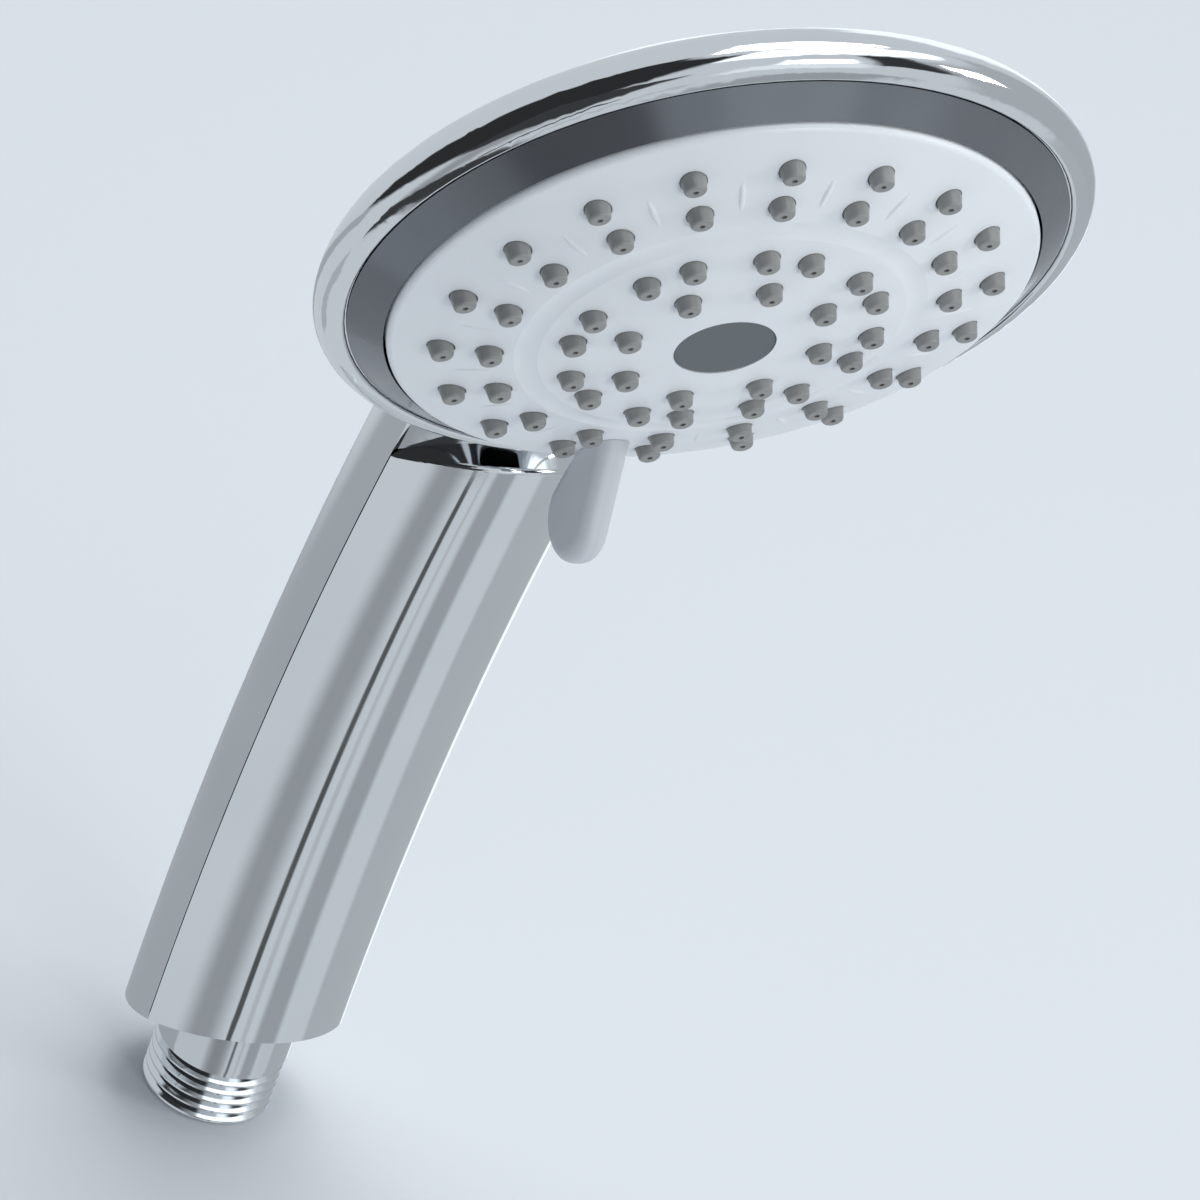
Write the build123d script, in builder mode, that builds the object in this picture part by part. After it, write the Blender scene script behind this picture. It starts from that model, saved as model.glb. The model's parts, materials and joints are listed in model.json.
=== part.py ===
"""Handheld shower head: chromed handset with a turning three-spray face.

Frame: millimetres, +Z up along the hose inlet, +X to the right, spray towards -Y.
The origin is the middle of the inlet's sealing face, where the hose washer seats.
"""
import os
from math import atan, cos, degrees, hypot, radians, sin, sqrt

from build123d import *

# Clearances
FIT = 0.05            # between pieces that are assembled and stay put
RUNNING = 0.06        # radial, hub on its post
MOVING = 0.4          # between the turning face and what stands still
SEAM = 0.3            # visible joint lines between the shells

# Hose inlet, a half inch pipe thread, with a collar and a stem that goes up into the handle
THREAD_R = 10.48
THREAD_PITCH = 1.814
THREAD_DEPTH = 1.0
THREAD_CREST = 0.3
THREAD_LEAD = 0.4     # chamfer of the end
THREAD_LENGTH = 10.5
INLET_BORE_R = 7.5
INLET_BORE_L = 12.0
COLLAR_STEP = 0.32    # collar beyond the thread
COLLAR_SHOW = 5.0     # collar below the handle's end, on the axis
STEM_R = 9.0
STEM_L = 21.0         # inside the handle
FILTER_T = 1.5
FILTER_HOLE_R = 0.7
FILTER_RINGS = ((5.4, 12), (3.0, 6))    # radius and count of its holes
REGULATOR_H = 4.0
REGULATOR_BORE_R = 3.0
COLLAR_R = THREAD_R + COLLAR_STEP

# Handle: an oval section carried along a gentle arc that bows to the rear
HANDLE_ARC_R = 540.0
HANDLE_ARC = 15.1     # degrees from the lower end to the neck
HANDLE_HALF_W = 17.6
HANDLE_FRONT = 13.3   # axis to the front skin
HANDLE_REAR = 14.3    # axis to the rear skin
HANDLE_WALL = 2.2
PARTING = 20.0        # degrees that the rear shell wraps round past its widest line
END_SLANT = 15.7      # degrees, the lower end is shorter in front
END_CAP_T = 3.0
END_CAP_SINK = 0.6
HANDLE_END_Z = THREAD_LENGTH + COLLAR_SHOW    # lower end, on the axis

# Head: an axis-symmetric body whose axis leans down to the front, with heights along the spray
HEAD_TILT = 25.0
RIM_R = 55.4
RIM_W = 3.9           # rim beyond the shell's front edge
RIM_ROUND = 1.5       # widest line back to where the back's outline meets the rim
CROWN_R = 1.0         # small flat in the middle of the back
BEAD_W = 0.7          # round bead of the rim: crest beyond the shell's front edge, and ahead of it
BEAD_H = 0.4
SHELL_LIP = 1.2       # front edge beyond the bore
SHELL_WALL = 2.4
FACE_CROWN_Z = 4.7
FACE_EDGE_Z = -3.4
FRONT_DROP = 4.5      # face's edge back to the shell's front edge
RIM_DROP = 3.5        # front edge back to the widest line
BACK_DEPTH = 20.6     # widest line back to the crown
SHELL_FRONT_R = RIM_R - RIM_W
SHELL_BORE_R = SHELL_FRONT_R - SHELL_LIP
SHELL_FRONT_Z = FACE_EDGE_Z - FRONT_DROP
RIM_Z = SHELL_FRONT_Z - RIM_DROP
BACK_Z = RIM_Z - BACK_DEPTH
RIM_CREST = (SHELL_FRONT_R + BEAD_W, SHELL_FRONT_Z + BEAD_H)

# Bezel
BEZEL_W = 4.0         # shell's bore beyond the face
BEZEL_T = 2.0
BEZEL_SET = 0.8       # behind the face's edge
BEZEL_SEAM = 0.2      # joint line round it
BEZEL_SKIRT_T = 1.5
BEZEL_SKIRT_L = 5.1
BEZEL_SKIRT_Z = SHELL_FRONT_Z - BEZEL_SKIRT_L

# Neck: the front cover ends in a round tongue short of the rim, and the neck above it is sunk
NECK_SINK = 0.6       # handle axis at the neck, in from the rim
NECK_BEHIND = 14.1    # and behind the rim's widest line
NECK_DIP = 4.5        # sunk front of the neck, behind the handle's front skin
NECK_INSET = 0.25     # sunk front, in from the joint lines
NECK_ARC = 2.9        # degrees below the top of the arc where the hollow narrows to suit
TONGUE_GAP = 8.4      # rim to the top of the tongue
TONGUE_SIDE = 2.9     # tongue's round beyond the handle's half width
TONGUE_EDGE = 0.8
NECK_REACH = RIM_R - NECK_SINK
NECK_DEPTH = NECK_BEHIND - RIM_Z
NECK_FRONT = HANDLE_FRONT - NECK_DIP
TONGUE_TOP = RIM_R + TONGUE_GAP
TONGUE_R = HANDLE_HALF_W + TONGUE_SIDE

# Turning face
FACE_EDGE_ROUND = 1.0
FACE_T = 2.0
FACE_SKIRT_T = 2.0
BADGE_R = 7.3
BADGE_T = 1.2
BADGE_SINK = 0.3
FACE_R = SHELL_BORE_R - BEZEL_W

# Nozzles, in rings counted round from the lever's direction
NOZZLE_BASE_R = 1.85
NOZZLE_TIP_R = 1.55
NOZZLE_TIP_ROUND = 0.45
NOZZLE_H = 1.75
NOZZLE_CLEAR = 0.1
ORIFICE_R = 0.4
OUTER_PAIRS = 18
OUTER_EDGE = 7.16     # outer ring, in from the face's edge
INNER_GROUPS = 8
INNER_SINGLE_R = 14.85
INNER_PAIR_ANGLE = 9.0
PAIR_SHARE = 0.29     # inner pairs and second ring, as shares of the way to the outer ring
SECOND_SHARE = 0.731
MAT_T = 1.6
MAT_EDGE = 3.6        # mat beyond its outermost nozzle centres
OUTER_R = FACE_R - OUTER_EDGE
FIELD_W = OUTER_R - INNER_SINGLE_R
INNER_PAIR_R = INNER_SINGLE_R + PAIR_SHARE * FIELD_W
SECOND_R = INNER_SINGLE_R + SECOND_SHARE * FIELD_W

# Soft ring between the two spray fields, and small raised dashes between the outer pairs
GROOVE_IN = 4.9       # in from the second ring
GROOVE_W = 3.4
GROOVE_D = 0.22
DASH_L = 5.4
DASH_IN = 0.87        # in from half way between the outer rings
DASH_W = 1.0
DASH_RISE = 0.22
DASH_TIP_R = 0.1      # of the buried ends
GROOVE_R = SECOND_R - GROOVE_IN
DASH_AT = (OUTER_R + SECOND_R) / 2 - DASH_IN

# Lever: a rounded blade that stands on the face and reaches past its edge
LEVER_T = 5.2
LEVER_EDGE = 2.2
LEVER_LOBE_R = 6.4
LEVER_LOBE_OUT = 4.1        # beyond the face's edge, and ahead of it
LEVER_LOBE_AHEAD = 8.0
LEVER_ROOT_R = 2.5          # rounds of the root, sunk in the face, and of the heel over its edge
LEVER_ROOT_IN = 10.9
LEVER_ROOT_SINK = 2.0
LEVER_HEEL_OUT = 1.1
LEVER_HEEL_AHEAD = 3.4
LEVER_LOBE = (FACE_R + LEVER_LOBE_OUT, FACE_EDGE_Z + LEVER_LOBE_AHEAD)
LEVER_HEEL = (FACE_R + LEVER_HEEL_OUT, FACE_EDGE_Z + LEVER_HEEL_AHEAD)
LEVER_ROOT_AT = FACE_R - LEVER_ROOT_IN

# Valve plate with its centre post, elbow and pockets
PLATE_GAP = 3.8       # in from the shell's bore
PLATE_SINK = 2.0      # behind the rim's widest line
PLATE_T = 3.0
POST_R = 6.0
POST_SINK = 1.2       # behind the face's edge
SEAL_R = 0.9          # section of the round seals of post and face
SCREW_R = 2.0
SCREW_L = 10.0
SCREW_HEAD_R = 4.4
SCREW_HEAD_H = 2.4
SCREW_SLOT = 1.0
WASHER_R = 8.2
WASHER_T = 1.0
ELBOW_DROP = 11.6     # behind the plate's front
ELBOW_R = 7.0
ELBOW_L = 10.0
SOCKET_R = 7.4
TUBE_R = 5.5
TUBE_BORE_R = 4.0
TUBE_SEAT = 9.0       # length of either end in its socket
TUBE_SEAL_R = 0.4     # section of the round seals on its ends
PLATE_SCREWS = 4
PLATE_SCREW_IN = 6.5  # in from the plate's edge
PLATE_SCREW_R = 1.5
PLATE_SCREW_L = 5.5
PLATE_SCREW_HEAD_R = 2.8
PLATE_SCREW_HEAD_H = 1.4
BOSS_R = 3.4
PLATE_R = SHELL_BORE_R - PLATE_GAP
PLATE_SCREW_AT = PLATE_R - PLATE_SCREW_IN
PLATE_FRONT_Z = RIM_Z - PLATE_SINK
POST_TOP_Z = FACE_EDGE_Z - POST_SINK
ELBOW_Z = PLATE_FRONT_Z - ELBOW_DROP

# Port that feeds the chosen spray, with its sprung seal
PORT_IN = 4.6         # in from the second ring of nozzles
PORT_BORE_R = 3.6
PORT_POCKET_R = 5.8
PORT_POCKET_D = 6.0
PORT_GAP = 0.2
PORT_SEAL_H = 3.0
PORT_WIRE_R = 0.4
PORT_TURNS = 2
PORT_R = SECOND_R - PORT_IN
ELBOW_TO = PORT_R + ELBOW_L

# Detent: a sprung ball that clicks into a dimple at each spray
STOP_ANGLE = 40.0
DETENT_IN = 12.5      # in from the plate's edge
BALL_R = 2.0
BALL_RISE = 0.9
DETENT_TRACK_D = 1.0
DETENT_TRACK_W = 4.4
DIMPLE_R = 2.4
DIMPLE_D = 0.5
DETENT_POCKET_D = 6.0
DETENT_BOSS_R = 3.6
DETENT_FLOOR = 0.8
DETENT_WIRE_R = 0.2
DETENT_TURNS = 3
DETENT_R = PLATE_R - DETENT_IN

# Spray former behind the nozzle mats
FORMER_T = 2.6
FORMER_HUB_R = 9.5
WALL_T = 1.6
CHANNEL_W = 5.0
CHANNEL_D = 1.2
OUTER_HOLE_OUT = 0.6  # holes beside the second ring and the inner pairs
INNER_HOLE_IN = 0.4
SPRAY_HOLE_R = 2.2
OUTER_HOLE_AT = SECOND_R + OUTER_HOLE_OUT
INNER_HOLE_AT = INNER_PAIR_R - INNER_HOLE_IN


def arc_point(turn):
    """Handle axis at an angle along its arc, in degrees from the lower end."""
    a = radians(turn)
    return Vector(0, -HANDLE_ARC_R * (1 - cos(a)), HANDLE_END_Z + HANDLE_ARC_R * sin(a))


def arc_plane(turn):
    """Plane across the handle there: local x is to the right and local y to the rear."""
    a = radians(turn)
    return Plane(origin=arc_point(turn), x_dir=(1, 0, 0), z_dir=(0, -sin(a), cos(a)))


# Head plane: local z is the spray direction, local y points up and away from the handle
TILT = radians(HEAD_TILT)
SPRAY = Vector(0, -cos(TILT), -sin(TILT))
UPWARD = Vector(0, -sin(TILT), cos(TILT))
HEAD_ORIGIN = arc_point(HANDLE_ARC) + UPWARD * NECK_REACH + SPRAY * NECK_DEPTH
HEAD = Plane(origin=HEAD_ORIGIN, x_dir=(1, 0, 0), z_dir=SPRAY)
# Half section of the head: local x runs out from the axis, local y along the spray
HALF = Plane(origin=HEAD_ORIGIN, x_dir=(1, 0, 0), z_dir=-UPWARD)
# Section through lever and handle: local x runs out towards the handle
RADIAL = Plane(origin=HEAD_ORIGIN, x_dir=-UPWARD, z_dir=(-1, 0, 0))
HEAD_AXIS = Axis(HEAD_ORIGIN, SPRAY)
LEVER_ANGLE = -90.0

# The face is a shallow ball cap
FACE_SAG = FACE_CROWN_Z - FACE_EDGE_Z
FACE_BALL_R = (FACE_R ** 2 + FACE_SAG ** 2) / (2 * FACE_SAG)
BALL_Z = FACE_CROWN_Z - FACE_BALL_R
BALL_CENTRE = HEAD_ORIGIN + SPRAY * BALL_Z
MAT_FRONT_R = FACE_BALL_R - FACE_T - FIT
MAT_BACK_R = MAT_FRONT_R - MAT_T
PLATE_BACK_Z = PLATE_FRONT_Z - PLATE_T
FORMER_BACK_Z = PLATE_FRONT_Z + MOVING
FORMER_FRONT_Z = FORMER_BACK_Z + FORMER_T
FORMER_R = FACE_R - FACE_SKIRT_T - FIT
PORT_ANGLE = LEVER_ANGLE      # the port faces the handle
DETENT_ANGLE = 90.0           # the detent is opposite
PLATE_SCREW_ANGLE = 180 / PLATE_SCREWS
STOPS = (-STOP_ANGLE, 0, STOP_ANGLE)


def cap_z(out, ball_r=FACE_BALL_R):
    """Height of a ball cap at a distance from the head axis."""
    return BALL_Z + sqrt(ball_r ** 2 - out ** 2)


def inset(points, wall):
    """Move each point of an outline inward, square to the outline, by a wall."""
    moved = []
    for i, (x, y) in enumerate(points):
        x0, y0 = points[max(i - 1, 0)]
        x1, y1 = points[min(i + 1, len(points) - 1)]
        run = hypot(x1 - x0, y1 - y0)
        moved.append((x - wall * (y1 - y0) / run, y + wall * (x1 - x0) / run))
    return moved


# Back of the head, from its crown out to the rim
BACK_RISE = RIM_Z - RIM_ROUND - BACK_Z
BACK_OUTLINE = [
    (0, BACK_Z),
    (0.397 * RIM_R, BACK_Z + 0.152 * BACK_RISE),
    (0.792 * RIM_R, BACK_Z + 0.607 * BACK_RISE),
    (0.895 * RIM_R, BACK_Z + 0.785 * BACK_RISE),
    (RIM_R - 0.45 * RIM_ROUND, RIM_Z - RIM_ROUND),
]
BACK_LEAN = (0.5, 1)      # ways that the outline runs into the rim, and over the crest of its bead
CREST_LEAN = (-1, 0.2)
BACK_INSIDE = [(max(x, 0), y) for x, y in inset(BACK_OUTLINE, SHELL_WALL)]
BACK_INSIDE[0] = (0, BACK_Z + SHELL_WALL)

# Handle: a steady section from below the slanted end up to the neck, then a ridge that
# sinks into the back of the head, as turn along the arc and shares of half width and rear depth
HANDLE_LOW = -1.5
HANDLE_TOP = HANDLE_ARC + 1.4
HANDLE_LENGTH = HANDLE_ARC_R * radians(HANDLE_ARC)
NECK_TURN = HANDLE_ARC - NECK_ARC
RIDGE = [(HANDLE_ARC, 1, 1), (HANDLE_ARC + 0.8, 0.99, 0.97), (HANDLE_ARC + 2, 0.95, 0.84),
         (HANDLE_ARC + 3.8, 0.76, 0.44), (HANDLE_ARC + 5.2, 0.42, -0.08)]
ARC_AXIS = Axis((0, -HANDLE_ARC_R, HANDLE_END_Z), (1, 0, 0))
PART_COS = cos(radians(PARTING))
PART_Y = -HANDLE_REAR * sin(radians(PARTING))


def oval(turn, width, depth, wall, parts, front=HANDLE_FRONT, gap=0):
    """Handle section across the arc: the rear part, the front part past a gap, or both."""
    half_w = HANDLE_HALF_W * width - wall
    rear = HANDLE_REAR * depth - wall
    edge = (half_w * PART_COS, PART_Y - gap)
    other = (-edge[0], edge[1])
    with BuildSketch(arc_plane(turn)) as section:
        with BuildLine():
            if "rear" in parts:
                Spline(
                    edge, (half_w, 0), (0.72 * half_w, 0.694 * rear), (0, rear),
                    (-0.72 * half_w, 0.694 * rear), (-half_w, 0), other,
                )
            if "front" in parts:
                ThreePointArc(edge, (0, -front + wall), other)
            if len(parts) == 1:
                Line(other, edge)
        make_face()
    return section.sketch


def circles_of(piece, radius):
    """Circular edges of a piece that have a given radius."""
    return piece.edges().filter_by(GeomType.CIRCLE).filter_by(lambda e: abs(e.radius - radius) < FIT)


# Everything above the slanted lower end
END_PLANE = Plane(
    origin=arc_point(0), x_dir=(1, 0, 0), z_dir=(0, sin(radians(END_SLANT)), cos(radians(END_SLANT)))
)

# Water tube's route: straight out of the inlet, then one long bend into the elbow's socket
STEM_TOP_Z = HANDLE_END_Z + STEM_L
TUBE_LOW_Z = STEM_TOP_Z - TUBE_SEAT
TUBE_FOOT = Plane.XY.offset(TUBE_LOW_Z + FIT)
MOUTH = HEAD.from_local_coords((0, -ELBOW_TO, ELBOW_Z))
ELBOW_PLANE = Plane(origin=MOUTH, x_dir=(1, 0, 0), z_dir=UPWARD)
BEND_R = -MOUTH.Y / (1 - cos(TILT))
BEND_LOW_Z = MOUTH.Z - BEND_R * sin(TILT)
TUBE_SEATS = (Plane.XY.offset(TUBE_LOW_Z + TUBE_SEAT / 2), ELBOW_PLANE.offset(TUBE_SEAT / 2))
with BuildLine(Plane.YZ) as tube_route:
    Line((0, TUBE_LOW_Z + FIT), (0, BEND_LOW_Z))
    bend = JernArc((0, BEND_LOW_Z), (0, 1), BEND_R, HEAD_TILT)
    Line(bend @ 1, bend @ 1 + (bend % 1) * (TUBE_SEAT - FIT))

# Room that the shells leave round the tube
with BuildPart() as tube_room:
    with BuildSketch(TUBE_FOOT):
        Circle(TUBE_R + MOVING)
    sweep(path=tube_route.line)

# Solid outer form of the head
with BuildPart() as head_form:
    with BuildSketch(HALF):
        with BuildLine():
            Line((0, BACK_Z), (CROWN_R, BACK_Z))
            Spline((CROWN_R, BACK_Z), *BACK_OUTLINE[1:], tangents=[(1, 0), BACK_LEAN])
            Spline(BACK_OUTLINE[-1], (RIM_R, RIM_Z), RIM_CREST, tangents=[BACK_LEAN, CREST_LEAN])
            TangentArc(RIM_CREST, (SHELL_FRONT_R, SHELL_FRONT_Z), tangent=CREST_LEAN)
            Line((SHELL_FRONT_R, SHELL_FRONT_Z), (0, SHELL_FRONT_Z))
            Line((0, SHELL_FRONT_Z), (0, BACK_Z))
        make_face()
    revolve(axis=HEAD_AXIS)

with BuildPart() as head_cavity:
    with BuildSketch(HALF):
        with BuildLine():
            Spline(*BACK_INSIDE[:-1], tangents=[(1, 0), (0.9, 1)])
            Line(BACK_INSIDE[-2], (SHELL_BORE_R, BACK_INSIDE[-2][1]))
            Line((SHELL_BORE_R, BACK_INSIDE[-2][1]), (SHELL_BORE_R, 0))
            Line((SHELL_BORE_R, 0), (0, 0))
            Line((0, 0), BACK_INSIDE[0])
        make_face()
    revolve(axis=HEAD_AXIS)

with BuildPart() as rear_form:
    revolve(oval(HANDLE_LOW, 1, 1, 0, ["rear"]), ARC_AXIS, HANDLE_ARC - HANDLE_LOW)
    loft([oval(t, w, d, 0, ["rear"]) for t, w, d in RIDGE])

with BuildPart() as front_form:
    revolve(oval(HANDLE_LOW, 1, 1, 0, ["front"], gap=SEAM), ARC_AXIS, HANDLE_TOP - HANDLE_LOW)

# The hollow has a shallower front in the neck
BOTH = ["rear", "front"]
with BuildPart() as handle_cavity:
    revolve(oval(HANDLE_LOW, 1, 1, HANDLE_WALL, BOTH), ARC_AXIS, NECK_TURN - HANDLE_LOW)
    revolve(oval(NECK_TURN, 1, 1, HANDLE_WALL, BOTH, NECK_FRONT), ARC_AXIS, HANDLE_ARC - NECK_TURN)
    loft([oval(t, w, d, HANDLE_WALL, BOTH, NECK_FRONT) for t, w, d in RIDGE[:-1]])

# Room of the front shell seen along the spray: straight sides and a round top
with BuildPart() as tongue:
    with BuildSketch(HEAD):
        with Locations((0, -TONGUE_TOP - TONGUE_R)):
            Circle(TONGUE_R)
            Rectangle(2 * TONGUE_R, 2 * HANDLE_LENGTH, align=(Align.CENTER, Align.MAX))
    extrude(amount=HANDLE_LENGTH, both=True)

# Sunk front of the neck, a curved skin from the tongue up, just inside the joint lines
NECK_X = HANDLE_HALF_W * PART_COS - NECK_INSET
NECK_Y = PART_Y + NECK_INSET
with BuildPart() as neck_skin:
    with BuildSketch(arc_plane(NECK_TURN)):
        with BuildLine():
            ThreePointArc((NECK_X, NECK_Y), (0, -NECK_FRONT), (-NECK_X, NECK_Y))
            Line((-NECK_X, NECK_Y), (-NECK_X, NECK_Y + HANDLE_WALL))
            ThreePointArc(
                (-NECK_X, NECK_Y + HANDLE_WALL), (0, HANDLE_WALL - NECK_FRONT), (NECK_X, NECK_Y + HANDLE_WALL)
            )
            Line((NECK_X, NECK_Y + HANDLE_WALL), (NECK_X, NECK_Y))
        make_face()
    revolve(axis=ARC_AXIS, revolution_arc=HANDLE_TOP - NECK_TURN)
    add(tongue.part, mode=Mode.SUBTRACT)
    add(head_cavity.part, mode=Mode.SUBTRACT)

# Rear shell: back of the head, neck and rear of the handle in one piece
with BuildPart() as rear_shell:
    add(rear_form.part)
    add(head_form.part)
    add(head_cavity.part, mode=Mode.SUBTRACT)
    add(handle_cavity.part, mode=Mode.SUBTRACT)
    add(neck_skin.part)
    add(tube_room.part, mode=Mode.SUBTRACT)
    with BuildSketch(ELBOW_PLANE.offset(-SEAM)):
        Circle(SOCKET_R + SEAM)
    extrude(amount=ELBOW_TO - PORT_R + SEAM, mode=Mode.SUBTRACT)
    split(bisect_by=END_PLANE, keep=Keep.TOP)
    # Bosses that carry the valve plate
    with BuildSketch(HEAD.offset(PLATE_BACK_Z - FIT)):
        with PolarLocations(PLATE_SCREW_AT, PLATE_SCREWS, start_angle=PLATE_SCREW_ANGLE):
            Circle(BOSS_R)
    extrude(until=Until.NEXT, dir=-SPRAY)
    with BuildSketch(HEAD.offset(PLATE_BACK_Z)):
        with PolarLocations(PLATE_SCREW_AT, PLATE_SCREWS, start_angle=PLATE_SCREW_ANGLE):
            Circle(PLATE_SCREW_R + FIT)
    extrude(amount=PLATE_SCREW_HEAD_H + PLATE_SCREW_L + FIT - PLATE_T, dir=-SPRAY, mode=Mode.SUBTRACT)

# Front shell: cover of the handle, with a rounded upper edge
with BuildPart() as front_shell:
    add(front_form.part)
    add(tongue.part, mode=Mode.INTERSECT)
    rounds = front_shell.faces().filter_by(GeomType.CYLINDER)
    tongue_face = rounds.filter_by(lambda f: abs(f.radius - TONGUE_R) < FIT)[0]
    fillet(tongue_face.edges().sort_by(HEAD_AXIS)[-1], TONGUE_EDGE)
    add(handle_cavity.part, mode=Mode.SUBTRACT)
    split(bisect_by=END_PLANE, keep=Keep.TOP)

# Bezel: the smoke-dark ring between face and shell, on a skirt inside the shell
BEZEL_OUT = SHELL_BORE_R - FIT
BEZEL_IN = FACE_R + MOVING
BEZEL_FRONT_Z = FACE_EDGE_Z - BEZEL_SET
with BuildPart() as bezel_ring:
    with BuildSketch(HALF):
        with BuildLine():
            Polyline(
                (BEZEL_IN, BEZEL_FRONT_Z),
                (SHELL_FRONT_R - BEZEL_SEAM, SHELL_FRONT_Z + BEZEL_SEAM),
                (BEZEL_OUT, SHELL_FRONT_Z + FIT),
                (BEZEL_OUT, BEZEL_SKIRT_Z),
                (BEZEL_OUT - BEZEL_SKIRT_T, BEZEL_SKIRT_Z),
                (BEZEL_OUT - BEZEL_SKIRT_T, SHELL_FRONT_Z),
                (BEZEL_IN, BEZEL_FRONT_Z - BEZEL_T),
                close=True,
            )
        make_face()
    revolve(axis=HEAD_AXIS)


# Rings of nozzles as radius, count and turn from the lever's direction
OUTER_RINGS = [(OUTER_R, OUTER_PAIRS, 180 / OUTER_PAIRS), (SECOND_R, OUTER_PAIRS, 180 / OUTER_PAIRS)]
INNER_RINGS = [
    (INNER_PAIR_R, INNER_GROUPS, INNER_PAIR_ANGLE),
    (INNER_PAIR_R, INNER_GROUPS, -INNER_PAIR_ANGLE),
    (INNER_SINGLE_R, INNER_GROUPS, 0),
]


def nozzle_circles(plane, ring, radius):
    """One ring of circles, as a sketch across the head axis."""
    out, count, turn = ring
    with BuildSketch(plane) as circles:
        with PolarLocations(out, count, start_angle=LEVER_ANGLE + turn):
            Circle(radius)
    return circles.sketch


def cap_ring(inside, outside, front_r, back_r):
    """Half section of a ring between two ball caps."""
    middle = (inside + outside) / 2
    with BuildSketch(HALF) as ring:
        with BuildLine():
            ThreePointArc(
                (inside, cap_z(inside, front_r)),
                (middle, cap_z(middle, front_r)),
                (outside, cap_z(outside, front_r)),
            )
            Line((outside, cap_z(outside, front_r)), (outside, cap_z(outside, back_r)))
            ThreePointArc(
                (outside, cap_z(outside, back_r)),
                (middle, cap_z(middle, back_r)),
                (inside, cap_z(inside, back_r)),
            )
            Line((inside, cap_z(inside, back_r)), (inside, cap_z(inside, front_r)))
        make_face()
    return ring.sketch


# Dash: a slim spindle, sunk so that only a tapering ridge shows
DASH_R = (DASH_W ** 2 / 4 + DASH_RISE ** 2) / (2 * DASH_RISE)
DASH_BEND_R = (DASH_L ** 2 / 4 + DASH_RISE ** 2) / (2 * DASH_RISE)
DASH_REACH = sqrt(DASH_BEND_R ** 2 - (DASH_BEND_R - DASH_R + DASH_TIP_R) ** 2)
with BuildPart() as dash:
    with BuildSketch(Plane.XZ):
        with BuildLine():
            ThreePointArc((-DASH_REACH, DASH_TIP_R), (0, DASH_R), (DASH_REACH, DASH_TIP_R))
            Polyline(
                (DASH_REACH, DASH_TIP_R), (DASH_REACH, 0), (-DASH_REACH, 0), (-DASH_REACH, DASH_TIP_R)
            )
        make_face()
    revolve(axis=Axis.X)

# Face plate: domed white disc on a skirt, with a hole for each nozzle
SKIRT_IN = FACE_R - FACE_SKIRT_T
FACE_BACK_Z = FORMER_BACK_Z + SEAM
with BuildPart() as face_plate:
    with BuildSketch(HALF):
        with BuildLine():
            ThreePointArc((0, FACE_CROWN_Z), (FACE_R / 2, cap_z(FACE_R / 2)), (FACE_R, FACE_EDGE_Z))
            Polyline(
                (FACE_R, FACE_EDGE_Z), (FACE_R, FACE_BACK_Z), (SKIRT_IN, FACE_BACK_Z),
                (SKIRT_IN, cap_z(SKIRT_IN, FACE_BALL_R - FACE_T)),
            )
            ThreePointArc(
                (SKIRT_IN, cap_z(SKIRT_IN, FACE_BALL_R - FACE_T)),
                (SKIRT_IN / 2, cap_z(SKIRT_IN / 2, FACE_BALL_R - FACE_T)),
                (0, FACE_CROWN_Z - FACE_T),
            )
            Line((0, FACE_CROWN_Z - FACE_T), (0, FACE_CROWN_Z))
        make_face()
    revolve(axis=HEAD_AXIS)
    rim_edges = circles_of(face_plate, FACE_R)
    fillet(rim_edges.sort_by(HEAD_AXIS)[-1], FACE_EDGE_ROUND)
    for ring in OUTER_RINGS + INNER_RINGS:
        holes = nozzle_circles(HEAD.offset(FACE_CROWN_Z), ring, NOZZLE_BASE_R + NOZZLE_CLEAR)
        extrude(holes, amount=FACE_SAG + FACE_T, dir=-SPRAY, mode=Mode.SUBTRACT)
    # Seat of the badge, and the way to the screw behind it
    with BuildSketch(HEAD.offset(FACE_CROWN_Z - BADGE_SINK - BADGE_T)):
        Circle(BADGE_R)
    extrude(amount=BADGE_T + BADGE_SINK, mode=Mode.SUBTRACT)
    with BuildSketch(HEAD.offset(FACE_CROWN_Z)):
        Circle(SCREW_HEAD_R + MOVING)
    extrude(amount=-2 * FACE_T, mode=Mode.SUBTRACT)
    # Soft ring groove between the two spray fields, a round dish that leans with the face
    groove_r = (GROOVE_W ** 2 / 4 + GROOVE_D ** 2) / (2 * GROOVE_D)
    groove_up = (FACE_BALL_R - GROOVE_D + groove_r) / FACE_BALL_R
    with BuildSketch(HALF):
        with Locations((groove_up * GROOVE_R, BALL_Z + groove_up * (cap_z(GROOVE_R) - BALL_Z))):
            Circle(groove_r)
    revolve(axis=HEAD_AXIS, mode=Mode.SUBTRACT)
    # Dashes, one in each gap between the outer pairs, where the lever isn't
    dash_planes = []
    for i in range(1, OUTER_PAIRS):
        angle = radians(LEVER_ANGLE + i * 360 / OUTER_PAIRS)
        spot = HEAD.from_local_coords((DASH_AT * cos(angle), DASH_AT * sin(angle), cap_z(DASH_AT)))
        normal = spot - BALL_CENTRE
        along = normal.cross(SPRAY).cross(normal)
        dash_planes.append(Plane(origin=spot, x_dir=along, z_dir=normal).offset(DASH_RISE - DASH_R))
    with Locations(*dash_planes):
        add(dash.part)

with BuildPart() as badge_disc:
    with BuildSketch(HEAD.offset(FACE_CROWN_Z - BADGE_SINK - BADGE_T + FIT)):
        Circle(BADGE_R - FIT)
    extrude(amount=BADGE_T - FIT)
    chamfer(badge_disc.faces().sort_by(HEAD_AXIS)[-1].edges(), BADGE_SINK / 2)


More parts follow.
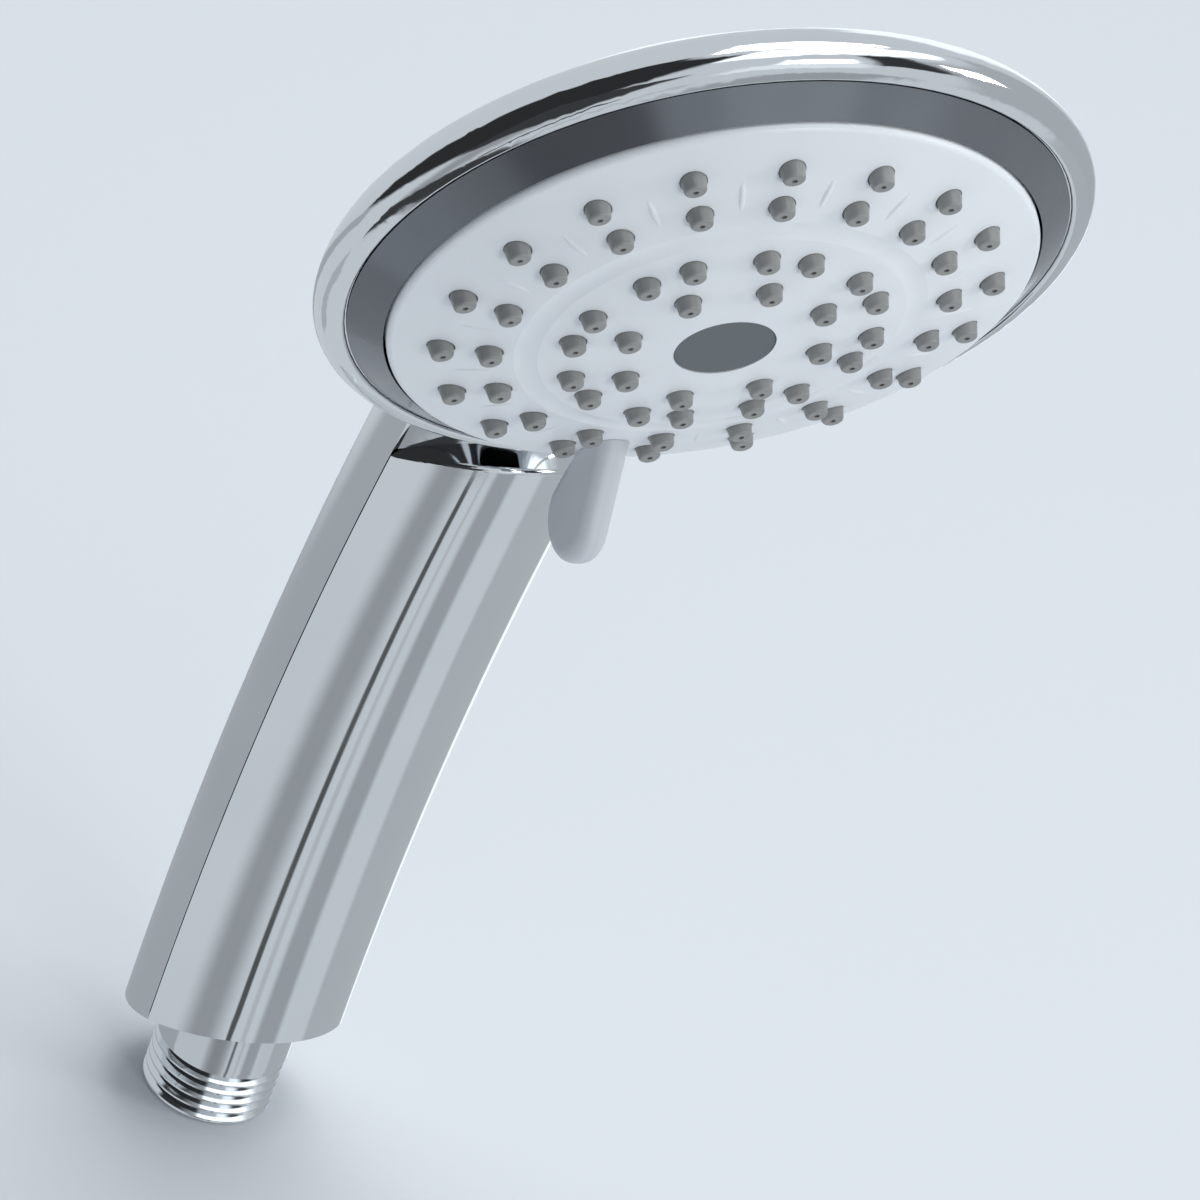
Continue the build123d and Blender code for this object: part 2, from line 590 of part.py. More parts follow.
def nozzle_mat(rings, inside, outside):
    """Soft mat behind the face, with the nozzles that stand out through it."""
    slope = degrees(atan((NOZZLE_BASE_R - NOZZLE_TIP_R) / NOZZLE_H))
    with BuildPart() as mat:
        revolve(cap_ring(inside, outside, MAT_FRONT_R, MAT_BACK_R), HEAD_AXIS)
        for ring in rings:
            tip = HEAD.offset(cap_z(ring[0]) + NOZZLE_H)
            extrude(nozzle_circles(tip, ring, NOZZLE_TIP_R), amount=NOZZLE_H, dir=-SPRAY, taper=-slope)
            base = HEAD.offset(cap_z(ring[0]))
            extrude(nozzle_circles(base, ring, NOZZLE_BASE_R), amount=FACE_T + MAT_T / 2, dir=-SPRAY)
        fillet(circles_of(mat, NOZZLE_TIP_R), NOZZLE_TIP_ROUND)
        for ring in rings:
            tip = HEAD.offset(cap_z(ring[0]) + NOZZLE_H)
            bores = nozzle_circles(tip, ring, ORIFICE_R)
            extrude(bores, amount=NOZZLE_H + FACE_T + 3 * MAT_T, dir=-SPRAY, mode=Mode.SUBTRACT)
    return mat


outer_nozzle_ring = nozzle_mat(OUTER_RINGS, SECOND_R - MAT_EDGE, OUTER_R + MAT_EDGE)
inner_nozzle_mat = nozzle_mat(INNER_RINGS, INNER_SINGLE_R - MAT_EDGE, INNER_PAIR_R + MAT_EDGE)

# Lever
with BuildPart() as selector_lever:
    with BuildSketch(RADIAL):
        with Locations(LEVER_LOBE):
            Circle(LEVER_LOBE_R)
        with Locations((LEVER_ROOT_AT, cap_z(LEVER_ROOT_AT) - LEVER_ROOT_SINK), LEVER_HEEL):
            Circle(LEVER_ROOT_R)
        make_hull()
    extrude(amount=LEVER_T / 2, both=True)
    sides = selector_lever.faces().sort_by(Axis.X)
    fillet(sides[0].edges() + sides[-1].edges(), LEVER_EDGE)
    with Locations(BALL_CENTRE):
        Sphere(FACE_BALL_R + FIT, mode=Mode.SUBTRACT)

# Spray former: the turning plate that splits the water between the two mats
HUB_TOP_Z = POST_TOP_Z - SEAM
with BuildPart() as spray_former:
    with BuildSketch(HALF):
        with BuildLine():
            Polyline(
                (POST_R + RUNNING, FORMER_BACK_Z), (FORMER_R, FORMER_BACK_Z), (FORMER_R, FORMER_FRONT_Z),
                (FORMER_HUB_R, FORMER_FRONT_Z), (FORMER_HUB_R, HUB_TOP_Z), (POST_R + RUNNING, HUB_TOP_Z),
                close=True,
            )
        make_face()
    revolve(axis=HEAD_AXIS)
    with BuildSketch(HEAD.offset(FORMER_FRONT_Z)):
        for wall_out in (
            OUTER_R + MAT_EDGE,
            SECOND_R - MAT_EDGE + WALL_T,
            INNER_PAIR_R + MAT_EDGE,
            INNER_SINGLE_R - MAT_EDGE + WALL_T,
        ):
            Circle(wall_out)
            Circle(wall_out - WALL_T, mode=Mode.SUBTRACT)
    extrude(amount=FACE_CROWN_Z - FORMER_FRONT_Z)
    with Locations(BALL_CENTRE):
        Sphere(MAT_BACK_R - FIT, mode=Mode.INTERSECT)

    # Groove of the seal round its rim
    with BuildSketch(HALF):
        with Locations((FORMER_R, (FORMER_BACK_Z + FORMER_FRONT_Z) / 2)):
            Rectangle(4 * SEAL_R, 2 * SEAL_R)
    revolve(axis=HEAD_AXIS, mode=Mode.SUBTRACT)
    # Back face: a channel for each spray, with holes to the outer field, both fields and the inner field
    for stop, holes in zip(STOPS, ([OUTER_HOLE_AT], [OUTER_HOLE_AT, INNER_HOLE_AT], [INNER_HOLE_AT])):
        with BuildSketch(HEAD.offset(FORMER_BACK_Z)):
            with PolarLocations(PORT_R, 1, start_angle=PORT_ANGLE + stop):
                SlotOverall(2 * (OUTER_HOLE_AT - PORT_R) + CHANNEL_W, CHANNEL_W)
        extrude(amount=CHANNEL_D, mode=Mode.SUBTRACT)
        with BuildSketch(HEAD.offset(FORMER_BACK_Z)):
            for out in holes:
                with PolarLocations(out, 1, start_angle=PORT_ANGLE + stop):
                    Circle(SPRAY_HOLE_R)
        extrude(amount=FORMER_T, mode=Mode.SUBTRACT)
    # Detent track with a dimple at each stop
    with BuildSketch(HEAD.offset(FORMER_BACK_Z)):
        with BuildLine() as track:
            CenterArc((0, 0), DETENT_R, DETENT_ANGLE - STOP_ANGLE, 2 * STOP_ANGLE)
        SlotArc(track.edges()[0], DETENT_TRACK_W)
    extrude(amount=DETENT_TRACK_D, mode=Mode.SUBTRACT)
    for stop in STOPS:
        angle = radians(DETENT_ANGLE + stop)
        spot = (
            DETENT_R * cos(angle),
            DETENT_R * sin(angle),
            FORMER_BACK_Z + DETENT_TRACK_D + DIMPLE_D - DIMPLE_R,
        )
        with Locations(HEAD.from_local_coords(spot)):
            Sphere(DIMPLE_R, mode=Mode.SUBTRACT)

with BuildPart() as former_seal:
    with BuildSketch(HALF):
        with Locations((FORMER_R - SEAL_R, (FORMER_BACK_Z + FORMER_FRONT_Z) / 2)):
            Circle(SEAL_R - FIT)
    revolve(axis=HEAD_AXIS)

# Valve plate: fixed in the shell, carries the post that the face turns on
HUB_SEAL_Z = (FORMER_BACK_Z + HUB_TOP_Z) / 2
PORT_SPOT = (PORT_R * cos(radians(PORT_ANGLE)), PORT_R * sin(radians(PORT_ANGLE)))
DETENT_SPOT = (DETENT_R * cos(radians(DETENT_ANGLE)), DETENT_R * sin(radians(DETENT_ANGLE)))
with BuildPart() as valve_plate:
    with BuildSketch(HEAD.offset(PLATE_BACK_Z)):
        Circle(PLATE_R)
    extrude(amount=PLATE_T)
    with BuildSketch(HEAD.offset(PLATE_BACK_Z)):
        Circle(POST_R)
    extrude(amount=POST_TOP_Z - PLATE_BACK_Z)
    # Elbow from the tube's socket to the port
    with BuildSketch(HEAD.offset(PLATE_FRONT_Z)):
        with Locations(PORT_SPOT):
            Circle(ELBOW_R)
    extrude(amount=PLATE_FRONT_Z - ELBOW_Z + ELBOW_R, dir=-SPRAY)
    with BuildSketch(ELBOW_PLANE):
        Circle(SOCKET_R)
    extrude(amount=ELBOW_TO - PORT_R)
    with BuildSketch(HEAD.offset(PLATE_FRONT_Z)):
        with Locations(PORT_SPOT):
            Circle(PORT_POCKET_R)
    extrude(amount=PORT_POCKET_D, dir=-SPRAY, mode=Mode.SUBTRACT)
    with BuildSketch(HEAD.offset(PLATE_FRONT_Z)):
        with Locations(PORT_SPOT):
            Circle(PORT_BORE_R)
    extrude(amount=PLATE_FRONT_Z - ELBOW_Z, dir=-SPRAY, mode=Mode.SUBTRACT)
    with BuildSketch(ELBOW_PLANE):
        Circle(TUBE_BORE_R)
    extrude(amount=ELBOW_TO - PORT_R, mode=Mode.SUBTRACT)
    with BuildSketch(ELBOW_PLANE):
        Circle(TUBE_R + FIT)
    extrude(amount=TUBE_SEAT, mode=Mode.SUBTRACT)
    # Detent pocket
    with BuildSketch(HEAD.offset(PLATE_FRONT_Z)):
        with Locations(DETENT_SPOT):
            Circle(DETENT_BOSS_R)
    extrude(amount=DETENT_POCKET_D + DETENT_FLOOR, dir=-SPRAY)
    with BuildSketch(HEAD.offset(PLATE_FRONT_Z)):
        with Locations(DETENT_SPOT):
            Circle(BALL_R + RUNNING)
    extrude(amount=DETENT_POCKET_D, dir=-SPRAY, mode=Mode.SUBTRACT)
    # Screw holes, with sunk seats in the plate and a blind hole in the post
    with BuildSketch(HEAD.offset(PLATE_FRONT_Z)):
        with PolarLocations(PLATE_SCREW_AT, PLATE_SCREWS, start_angle=PLATE_SCREW_ANGLE):
            Circle(PLATE_SCREW_R + FIT)
    extrude(amount=PLATE_T, dir=-SPRAY, mode=Mode.SUBTRACT)
    with BuildSketch(HEAD.offset(PLATE_FRONT_Z)):
        with PolarLocations(PLATE_SCREW_AT, PLATE_SCREWS, start_angle=PLATE_SCREW_ANGLE):
            Circle(PLATE_SCREW_HEAD_R + FIT)
    extrude(amount=PLATE_SCREW_HEAD_H, dir=-SPRAY, mode=Mode.SUBTRACT)
    with BuildSketch(HEAD.offset(POST_TOP_Z)):
        Circle(SCREW_R + FIT)
    extrude(amount=SCREW_L + FIT, dir=-SPRAY, mode=Mode.SUBTRACT)
    # Groove of the seal round the post
    with BuildSketch(HALF):
        with Locations((POST_R, HUB_SEAL_Z)):
            Rectangle(4 * SEAL_R, 2 * SEAL_R)
    revolve(axis=HEAD_AXIS, mode=Mode.SUBTRACT)

with BuildPart() as hub_seal:
    with BuildSketch(HALF):
        with Locations((POST_R - SEAL_R, HUB_SEAL_Z)):
            Circle(SEAL_R - FIT)
    revolve(axis=HEAD_AXIS)

# Sprung seal of the port, and its spring
with BuildPart() as port_seal:
    with BuildSketch(HEAD.offset(PLATE_FRONT_Z + PORT_GAP)):
        with Locations(PORT_SPOT):
            Circle(PORT_POCKET_R - FIT)
            Circle(PORT_BORE_R, mode=Mode.SUBTRACT)
    extrude(amount=PORT_SEAL_H, dir=-SPRAY)


def spring(spot, low_z, high_z, coil_r, wire_r, turns):
    """Round-wire compression spring along the head axis."""
    height = high_z - low_z - 2 * (wire_r + FIT)
    foot = HEAD.from_local_coords((*spot, low_z + wire_r + FIT))
    with BuildPart() as coil:
        with BuildLine() as wire:
            Helix(height / turns, height, coil_r, center=foot, direction=SPRAY)
        with BuildSketch(Plane(origin=wire.line @ 0, z_dir=wire.line % 0)):
            Circle(wire_r)
        sweep(is_frenet=True)
    return coil


port_spring = spring(
    PORT_SPOT,
    PLATE_FRONT_Z - PORT_POCKET_D,
    PLATE_FRONT_Z + PORT_GAP - PORT_SEAL_H,
    (PORT_POCKET_R + PORT_BORE_R) / 2,
    PORT_WIRE_R,
    PORT_TURNS,
)

BALL_Z_AT = PLATE_FRONT_Z + BALL_RISE - BALL_R
with BuildPart() as detent_ball:
    with Locations(HEAD.from_local_coords((*DETENT_SPOT, BALL_Z_AT))):
        Sphere(BALL_R)

detent_spring = spring(
    DETENT_SPOT,
    PLATE_FRONT_Z - DETENT_POCKET_D,
    BALL_Z_AT - BALL_R,
    BALL_R - 2 * DETENT_WIRE_R,
    DETENT_WIRE_R,
    DETENT_TURNS,
)

# Screw and washer that keep the face on its post
with BuildPart() as screw_washer:
    with BuildSketch(HEAD.offset(POST_TOP_Z)):
        Circle(WASHER_R)
        Circle(SCREW_R + FIT, mode=Mode.SUBTRACT)
    extrude(amount=WASHER_T)


def screw(plane, shank_r, shank_l, head_r, head_h, slot):
    """Slotted pan-head screw seated on a plane, shank against the spray direction."""
    with BuildPart() as fastener:
        with BuildSketch(plane):
            Circle(head_r)
        extrude(amount=head_h)
        with BuildSketch(plane):
            Circle(shank_r)
        extrude(amount=-shank_l)
        with BuildSketch(plane.offset(head_h)):
            Rectangle(3 * head_r, slot)
        extrude(amount=-head_h / 2, mode=Mode.SUBTRACT)
    return fastener


centre_screw = screw(
    HEAD.offset(POST_TOP_Z + WASHER_T), SCREW_R, SCREW_L + WASHER_T - FIT,
    SCREW_HEAD_R, SCREW_HEAD_H, SCREW_SLOT,
)
plate_screws = []
for i in range(PLATE_SCREWS):
    angle = radians(PLATE_SCREW_ANGLE + i * 360 / PLATE_SCREWS)
    seat = HEAD.from_local_coords(
        (PLATE_SCREW_AT * cos(angle), PLATE_SCREW_AT * sin(angle), PLATE_FRONT_Z - PLATE_SCREW_HEAD_H)
    )
    plate_screws.append(
        screw(
            Plane(origin=seat, x_dir=(1, 0, 0), z_dir=SPRAY),
            PLATE_SCREW_R, PLATE_SCREW_L, PLATE_SCREW_HEAD_R, PLATE_SCREW_HEAD_H, SCREW_SLOT,
        )
    )

# Hose inlet: thread, a collar that seats on the slanted end cap, and a stem with the tube's socket
with BuildPart() as inlet_connector:
    with BuildSketch(Plane.XY.offset(THREAD_LENGTH)):
        Circle(COLLAR_R)
    extrude(amount=STEM_L)
    split(bisect_by=END_PLANE.offset(END_CAP_SINK - FIT), keep=Keep.BOTTOM)
    with BuildSketch(Plane.XY.offset(THREAD_LENGTH)):
        Circle(STEM_R)
    extrude(amount=STEM_TOP_Z - THREAD_LENGTH)
    with BuildSketch():
        Circle(THREAD_R)
    extrude(amount=THREAD_LENGTH)
    chamfer(inlet_connector.faces().sort_by(Axis.Z)[0].edges(), THREAD_LEAD)
    with BuildSketch():
        Circle(INLET_BORE_R)
    extrude(amount=INLET_BORE_L, mode=Mode.SUBTRACT)
    with BuildSketch():
        Circle(TUBE_BORE_R)
    extrude(amount=STEM_TOP_Z, mode=Mode.SUBTRACT)
    with BuildSketch(Plane.XY.offset(TUBE_LOW_Z)):
        Circle(TUBE_R + FIT)
    extrude(amount=TUBE_SEAT, mode=Mode.SUBTRACT)
    # Thread, a groove for each turn
    groove_half = (THREAD_PITCH - THREAD_CREST) / 2
    first_z = THREAD_LEAD + THREAD_CREST + groove_half
    turns = int((THREAD_LENGTH - THREAD_LEAD) / THREAD_PITCH)
    with BuildSketch(Plane.XZ):
        with Locations(*[(THREAD_R, first_z + i * THREAD_PITCH) for i in range(turns)]):
            Polygon(
                (THREAD_DEPTH, 2 * groove_half), (-THREAD_DEPTH, 0), (THREAD_DEPTH, -2 * groove_half),
                align=None,
            )
    revolve(axis=Axis.Z, mode=Mode.SUBTRACT)

with BuildPart() as flow_regulator:
    with BuildSketch(Plane.XY.offset(INLET_BORE_L - REGULATOR_H)):
        Circle(INLET_BORE_R - FIT)
        Circle(REGULATOR_BORE_R, mode=Mode.SUBTRACT)
    extrude(amount=REGULATOR_H)

with BuildPart() as inlet_filter:
    with BuildSketch(Plane.XY.offset(INLET_BORE_L - REGULATOR_H - FIT - FILTER_T)):
        Circle(INLET_BORE_R - FIT)
        for out, count in FILTER_RINGS:
            with PolarLocations(out, count):
                Circle(FILTER_HOLE_R, mode=Mode.SUBTRACT)
    extrude(amount=FILTER_T)

# Cap that closes the handle's slanted lower end round the collar
with BuildPart() as end_cap:
    revolve(oval(HANDLE_LOW, 1, 1, HANDLE_WALL + FIT, ["rear", "front"]), ARC_AXIS, HANDLE_ARC / 2)
    split(bisect_by=END_PLANE.offset(END_CAP_SINK), keep=Keep.TOP)
    split(bisect_by=END_PLANE.offset(END_CAP_SINK + END_CAP_T), keep=Keep.BOTTOM)
    with BuildSketch():
        Circle(STEM_R + FIT)
    extrude(amount=STEM_TOP_Z, mode=Mode.SUBTRACT)

# Water tube
with BuildPart() as water_tube:
    with BuildSketch(TUBE_FOOT):
        Circle(TUBE_R)
        Circle(TUBE_BORE_R, mode=Mode.SUBTRACT)
    sweep(path=tube_route.line)
    # Grooves of the seals, half way along either seat
    for seat in TUBE_SEATS:
        with BuildSketch(seat.offset(-TUBE_SEAL_R - FIT)):
            Circle(TUBE_R + FIT)
            Circle(TUBE_R - 2 * TUBE_SEAL_R - FIT, mode=Mode.SUBTRACT)
        extrude(amount=2 * (TUBE_SEAL_R + FIT), mode=Mode.SUBTRACT)


def tube_seal(seat):
    """Round seal in a groove of the tube."""
    with BuildPart(seat) as ring:
        Torus(TUBE_R - TUBE_SEAL_R, TUBE_SEAL_R)
    return ring


PIECES = {
    "rear_shell": rear_shell,
    "front_shell": front_shell,
    "bezel_ring": bezel_ring,
    "handle_end_cap": end_cap,
    "inlet_connector": inlet_connector,
    "inlet_filter": inlet_filter,
    "flow_regulator": flow_regulator,
    "water_tube": water_tube,
    "lower_tube_seal": tube_seal(TUBE_SEATS[0]),
    "upper_tube_seal": tube_seal(TUBE_SEATS[1]),
    "valve_plate": valve_plate,
    "hub_seal": hub_seal,
    "port_seal": port_seal,
    "port_spring": port_spring,
    "detent_ball": detent_ball,
    "detent_spring": detent_spring,
    "centre_screw": centre_screw,
    "screw_washer": screw_washer,
    "face_plate": face_plate,
    "badge_disc": badge_disc,
    "outer_nozzle_ring": outer_nozzle_ring,
    "inner_nozzle_mat": inner_nozzle_mat,
    "selector_lever": selector_lever,
    "spray_former": spray_former,
    "former_seal": former_seal,
}
for i, fastener in enumerate(plate_screws, start=1):
    PIECES[f"plate_screw_{i}"] = fastener

os.makedirs("parts", exist_ok=True)
for name, piece in PIECES.items():
    piece.part.label = name
    export_step(piece.part, f"parts/{name}.step")
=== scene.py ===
"""Looks of the handheld shower head: finishes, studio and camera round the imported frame."""
import json
from math import cos, radians, sin

import bpy
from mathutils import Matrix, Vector

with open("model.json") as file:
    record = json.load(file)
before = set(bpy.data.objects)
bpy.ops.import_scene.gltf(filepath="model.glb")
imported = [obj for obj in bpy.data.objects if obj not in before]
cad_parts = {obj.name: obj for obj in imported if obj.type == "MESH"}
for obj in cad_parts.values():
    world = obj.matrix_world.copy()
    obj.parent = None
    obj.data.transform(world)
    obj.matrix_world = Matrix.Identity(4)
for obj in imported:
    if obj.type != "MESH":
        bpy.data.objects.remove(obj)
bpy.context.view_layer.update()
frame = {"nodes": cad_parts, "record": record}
nodes = frame["nodes"]

# Camera, fitted to the photograph
CAMERA_AT = Vector((-0.4952, -0.8735, 0.7425))
CAMERA_AIM = Vector((0.0082, -0.0477, 0.1331))
CAMERA_ROLL = -20.4
CAMERA_LENS = 235.98
CAMERA_REACH = 50
SENSOR = 36.0

# Floor just under the inlet's end face
FLOOR_Z = -0.0003
FLOOR_R = 6.0
FLOOR_SIDES = 96
FLOOR_COLOUR = (0.625, 0.65, 0.685, 1)
FLOOR_ROUGHNESS = 0.9

# Studio: brightness of the surround, its tint, and the brightness that the camera sees past the floor
SURROUND = 0.68
SURROUND_TINT = (0.88, 0.945, 1.0, 1)
BACKDROP = 0.73

# Panels and flags in the surround, a later one over an earlier one: turn from the spray side towards
# the right, half width, rise, half height and soft edge in degrees, then brightness
CARDS = [
    (-120, 55, -76, 4, 3, 0.48),     # grey strip far down on the left
    (-28, 4, -46, 10, 20, 0.36),     # soft grey patch, low in front on the left
    (100, 28, -42, 10, 6, 0.5),      # grey patch, low on the right
    (-72, 42, 18, 47, 8, 0.03),      # large dark flag on the left
    (-28, 16, -17, 16, 4, 0.05),     # smaller dark flag over its front edge
    (-10, 38, -63, 4, 3, 0.05),      # dark strip far down in front
    (-3, 1.5, -46, 10, 1.5, 0.1),    # thin dark upright line, low in front
    (10, 1, -46, 10, 2, 0.55),       # thin grey line right of it
    (30, 7, -46, 10, 6, 0.4),        # grey band right of both lines
    (40, 62, 62, 16, 5, 1.6),        # wide bright panel above, in front and on the right
    (15, 7, 12, 8, 3, 1.4),          # small bright panel in front
    (38, 8, 20, 18, 4, 0.04),        # dark flag right of it
    (85, 34, 0, 30, 8, 0.48),        # grey panel on the right
    (14, 10, -7, 6, 5, 0.95),        # pale panel under the small bright one
    (134, 4, -34, 4, 3, 1.2),        # small bright panel, low at the back on the right
    (147, 5, -10, 20, 4, 1.2),       # upright bright strip above it, further back
    (-145, 38, -36, 4, 3, 0.44),     # low grey strip at the back, in two lengths that meet straight behind
    (167, 12, -36, 4, 3, 0.44),
]

# Soft square lamps: place, aim and size in metres, power in watts
LAMPS = {
    "key": ((1.0, -0.6, 0.6), (0, -0.05, 0.15), 0.35, 2.8),
    "front": ((0.3, -1.18, 0.45), (0, -0.05, 0.2), 0.3, 2),
    "top": ((0.2, 0.3, 1.6), (0, -0.05, 0.15), 0.9, 12),
}

# Noise of the finishes: scale of the patches, detail of patches and grain, and the noise values at which
# the patches reach a finish's two ends
PATCH_SCALE = 40.0
NOISE_DETAIL = 4.0
NOISE_LOW = 0.3
NOISE_HIGH = 0.7

# Finishes by material slot: the patches' two colours, range of roughness, grain scale, grain height in
# metres, and how metallic
FINISHES = {
    "shell_chrome": ((0.80, 0.82, 0.84), (0.84, 0.855, 0.87), (0.03, 0.08), 900, 2e-7, 1.0),
    "bezel_smoke": ((0.19, 0.20, 0.22), (0.22, 0.23, 0.25), (0.1, 0.17), 1500, 4e-7, 0.6),
    "inlet_chrome": ((0.76, 0.78, 0.80), (0.80, 0.82, 0.84), (0.06, 0.14), 900, 4e-7, 1.0),
    "face_white": ((0.83, 0.85, 0.88), (0.86, 0.88, 0.90), (0.3, 0.4), 2500, 3e-6, 0.0),
    "lever_white": ((0.62, 0.63, 0.66), (0.65, 0.66, 0.69), (0.28, 0.38), 2500, 3e-6, 0.0),
    "badge_grey": ((0.105, 0.12, 0.13), (0.13, 0.145, 0.155), (0.35, 0.45), 3000, 4e-6, 0.0),
    "nozzle_grey": ((0.27, 0.27, 0.265), (0.31, 0.31, 0.30), (0.24, 0.34), 2500, 3e-6, 0.0),
    "inner_plastic": ((0.76, 0.76, 0.74), (0.8, 0.8, 0.78), (0.4, 0.5), 2500, 4e-6, 0.0),
    "seal_rubber": ((0.02, 0.02, 0.02), (0.035, 0.035, 0.035), (0.5, 0.65), 3000, 5e-6, 0.0),
    "filter_mesh": ((0.5, 0.5, 0.49), (0.56, 0.56, 0.55), (0.2, 0.32), 2500, 1e-6, 1.0),
    "spring_steel": ((0.55, 0.55, 0.54), (0.62, 0.62, 0.61), (0.2, 0.32), 2500, 1e-6, 1.0),
}


def new_material(name):
    """Node material and its principled shader."""
    mat = bpy.data.materials.new(name)
    mat.use_nodes = True
    return mat, mat.node_tree.nodes["Principled BSDF"]


def noise(tree, scale):
    """Noise value over the piece's own space, in metres."""
    coords = tree.nodes.new("ShaderNodeTexCoord")
    texture = tree.nodes.new("ShaderNodeTexNoise")
    texture.inputs["Scale"].default_value = scale
    texture.inputs["Detail"].default_value = NOISE_DETAIL
    tree.links.new(coords.outputs["Object"], texture.inputs["Vector"])
    return texture.outputs["Fac"]


def spread(tree, value, low, high):
    """Map a noise value onto a range."""
    node = tree.nodes.new("ShaderNodeMapRange")
    node.inputs["From Min"].default_value = NOISE_LOW
    node.inputs["From Max"].default_value = NOISE_HIGH
    node.inputs["To Min"].default_value = low
    node.inputs["To Max"].default_value = high
    tree.links.new(value, node.inputs["Value"])
    return node.outputs["Result"]


def tint(tree, value, *colours):
    """Mix two colours by a noise value."""
    ramp = tree.nodes.new("ShaderNodeValToRGB")
    for stop, place, colour in zip(ramp.color_ramp.elements, (NOISE_LOW, NOISE_HIGH), colours):
        stop.position = place
        stop.color = (*colour, 1)
    tree.links.new(value, ramp.inputs["Fac"])
    return ramp.outputs["Color"]


def bump(tree, shader, value, height):
    """Raise the surface by a noise value times a height in metres."""
    node = tree.nodes.new("ShaderNodeBump")
    node.inputs["Strength"].default_value = 1.0
    node.inputs["Distance"].default_value = height
    tree.links.new(value, node.inputs["Height"])
    tree.links.new(node.outputs["Normal"], shader.inputs["Normal"])


def finish(name, colour_a, colour_b, rough, grain, height, metallic):
    """Moulded or plated finish: colour and gloss vary in patches, and a fine grain raises the surface."""
    mat, shader = new_material(name)
    tree = mat.node_tree
    shader.inputs["Metallic"].default_value = metallic
    patches = noise(tree, PATCH_SCALE)
    tree.links.new(tint(tree, patches, colour_a, colour_b), shader.inputs["Base Color"])
    tree.links.new(spread(tree, patches, *rough), shader.inputs["Roughness"])
    bump(tree, shader, noise(tree, grain), height)
    return mat


def set_finishes():
    """Give each piece the finish of its material slot."""
    materials = {slot: finish(slot, *values) for slot, values in FINISHES.items()}
    for part in frame["record"]["subparts"]:
        nodes[part["node"]].data.materials[0] = materials[part["material_slot"]]


def set_camera():
    """Place the camera and turn it by its roll about the line of sight."""
    forward = (CAMERA_AIM - CAMERA_AT).normalized()
    level_right = forward.cross(Vector((0, 0, 1))).normalized()
    level_up = level_right.cross(forward)
    roll = radians(CAMERA_ROLL)
    up = level_up * cos(roll) + level_right * sin(roll)
    right = forward.cross(up)
    data = bpy.data.cameras.new("camera")
    data.lens = CAMERA_LENS
    data.sensor_width = SENSOR
    data.clip_end = CAMERA_REACH
    camera = bpy.data.objects.new("camera", data)
    bpy.context.scene.collection.objects.link(camera)
    rows = [(right[i], up[i], -forward[i], CAMERA_AT[i]) for i in range(3)]
    for i, row in enumerate(rows):
        for j, value in enumerate(row):
            camera.matrix_world[i][j] = value
    bpy.context.scene.camera = camera


def set_floor():
    """Round pale floor, left out of what the chrome mirrors."""
    bpy.ops.mesh.primitive_circle_add(
        vertices=FLOOR_SIDES, radius=FLOOR_R, fill_type="NGON", location=(0, 0, FLOOR_Z)
    )
    floor = bpy.context.object
    floor.name = "floor"
    mat, shader = new_material("floor")
    shader.inputs["Base Color"].default_value = FLOOR_COLOUR
    shader.inputs["Roughness"].default_value = FLOOR_ROUGHNESS
    floor.data.materials.append(mat)
    floor.visible_glossy = False


def feed(tree, socket, value):
    """Set a socket to a number, or link it to another socket."""
    if isinstance(value, float):
        socket.default_value = value
    else:
        tree.links.new(value, socket)


def compute(tree, operation, a, b=0.0):
    """Value of a sum, product or other function of two numbers or links."""
    node = tree.nodes.new("ShaderNodeMath")
    node.operation = operation
    feed(tree, node.inputs[0], a)
    feed(tree, node.inputs[1], b)
    return node.outputs["Value"]


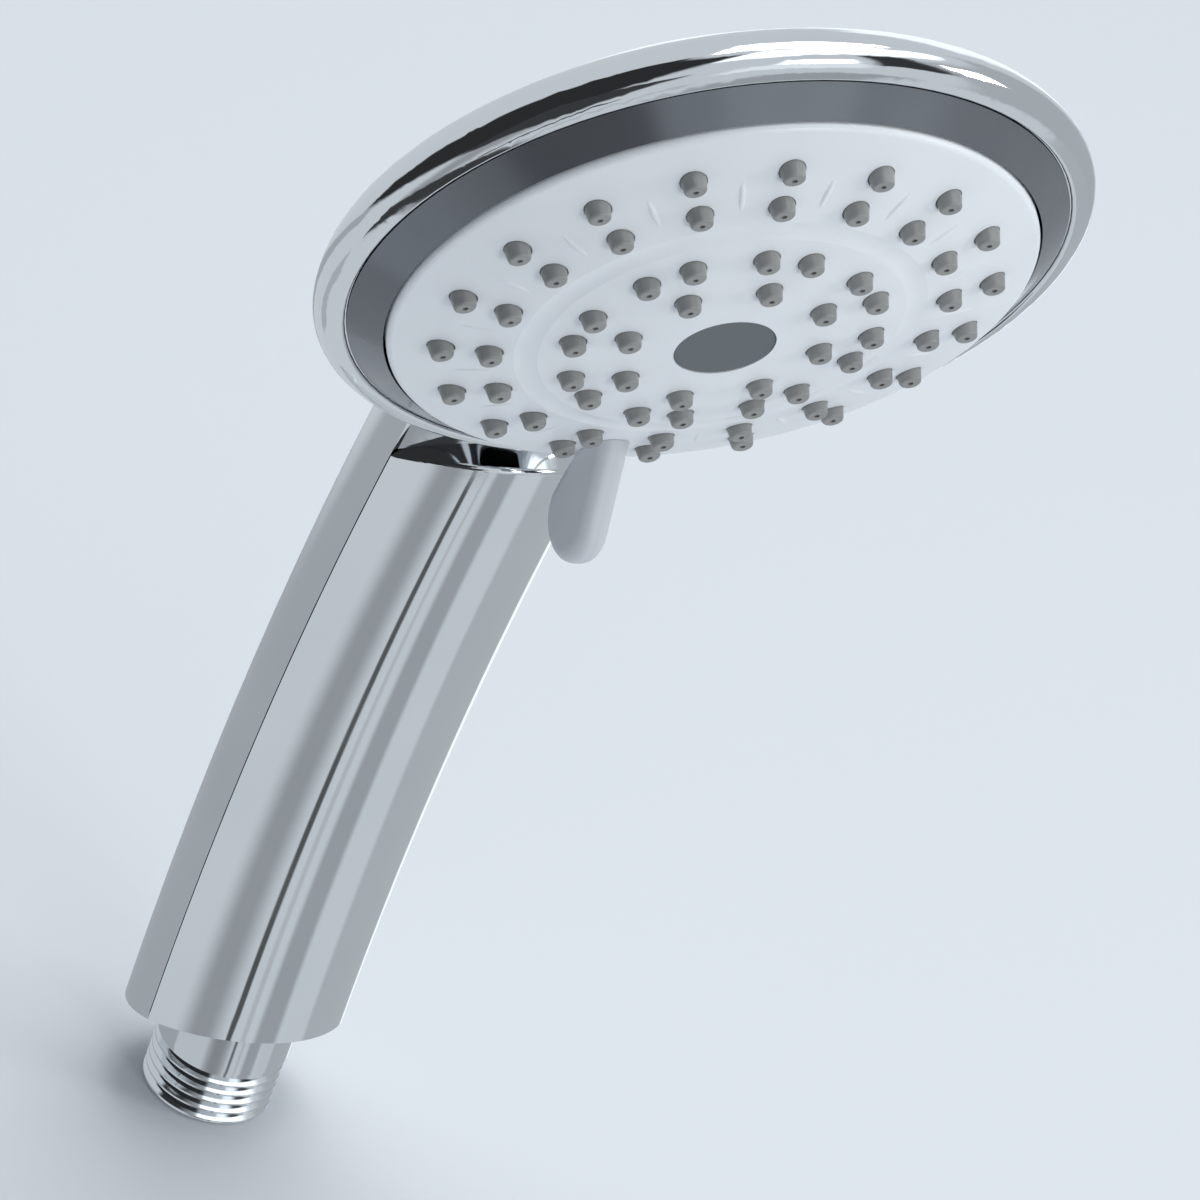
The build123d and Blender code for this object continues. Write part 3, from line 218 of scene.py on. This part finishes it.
def within(tree, value, centre, half, soft):
    """1 within half a width of a centre, falling smoothly to 0 over a soft edge."""
    node = tree.nodes.new("ShaderNodeMapRange")
    node.interpolation_type = "SMOOTHSTEP"
    node.inputs["From Min"].default_value = radians(half + soft)
    node.inputs["From Max"].default_value = radians(half)
    off = compute(tree, "ABSOLUTE", compute(tree, "SUBTRACT", value, radians(centre)))
    tree.links.new(off, node.inputs["Value"])
    return node.outputs["Result"]


def mixed(tree, share, a, b):
    """Mix of two numbers or links by a share."""
    node = tree.nodes.new("ShaderNodeMix")
    tree.links.new(share, node.inputs["Factor"])
    feed(tree, node.inputs["A"], a)
    feed(tree, node.inputs["B"], b)
    return node.outputs["Result"]


def set_world():
    """Studio round the object: a pale surround with soft bright panels and dark flags."""
    world = bpy.data.worlds.new("studio")
    world.use_nodes = True
    bpy.context.scene.world = world
    tree = world.node_tree
    background = tree.nodes["Background"]
    coords = tree.nodes.new("ShaderNodeTexCoord")
    split = tree.nodes.new("ShaderNodeSeparateXYZ")
    tree.links.new(coords.outputs["Generated"], split.inputs["Vector"])
    ahead = compute(tree, "MULTIPLY", split.outputs["Y"], -1.0)
    turn = compute(tree, "ARCTAN2", split.outputs["X"], ahead)
    rise = compute(tree, "ARCSINE", split.outputs["Z"])
    light = SURROUND
    for card_turn, half_w, card_rise, half_h, soft, level in CARDS:
        across = within(tree, turn, card_turn, half_w, soft)
        along = within(tree, rise, card_rise, half_h, soft)
        light = mixed(tree, compute(tree, "MULTIPLY", across, along), light, level)
    path = tree.nodes.new("ShaderNodeLightPath")
    light = mixed(tree, path.outputs["Is Camera Ray"], light, BACKDROP)
    background.inputs["Color"].default_value = SURROUND_TINT
    tree.links.new(light, background.inputs["Strength"])


def set_lamp(name, at, aim, size, power):
    """Soft square lamp."""
    data = bpy.data.lights.new(name, "AREA")
    data.size = size
    data.energy = power
    lamp = bpy.data.objects.new(name, data)
    lamp.location = at
    lamp.rotation_euler = (Vector(aim) - Vector(at)).to_track_quat("-Z", "Y").to_euler()
    bpy.context.scene.collection.objects.link(lamp)


set_finishes()
set_camera()
set_floor()
set_world()
for lamp_name, lamp_values in LAMPS.items():
    set_lamp(lamp_name, *lamp_values)

bpy.context.scene.view_settings.view_transform = "Standard"
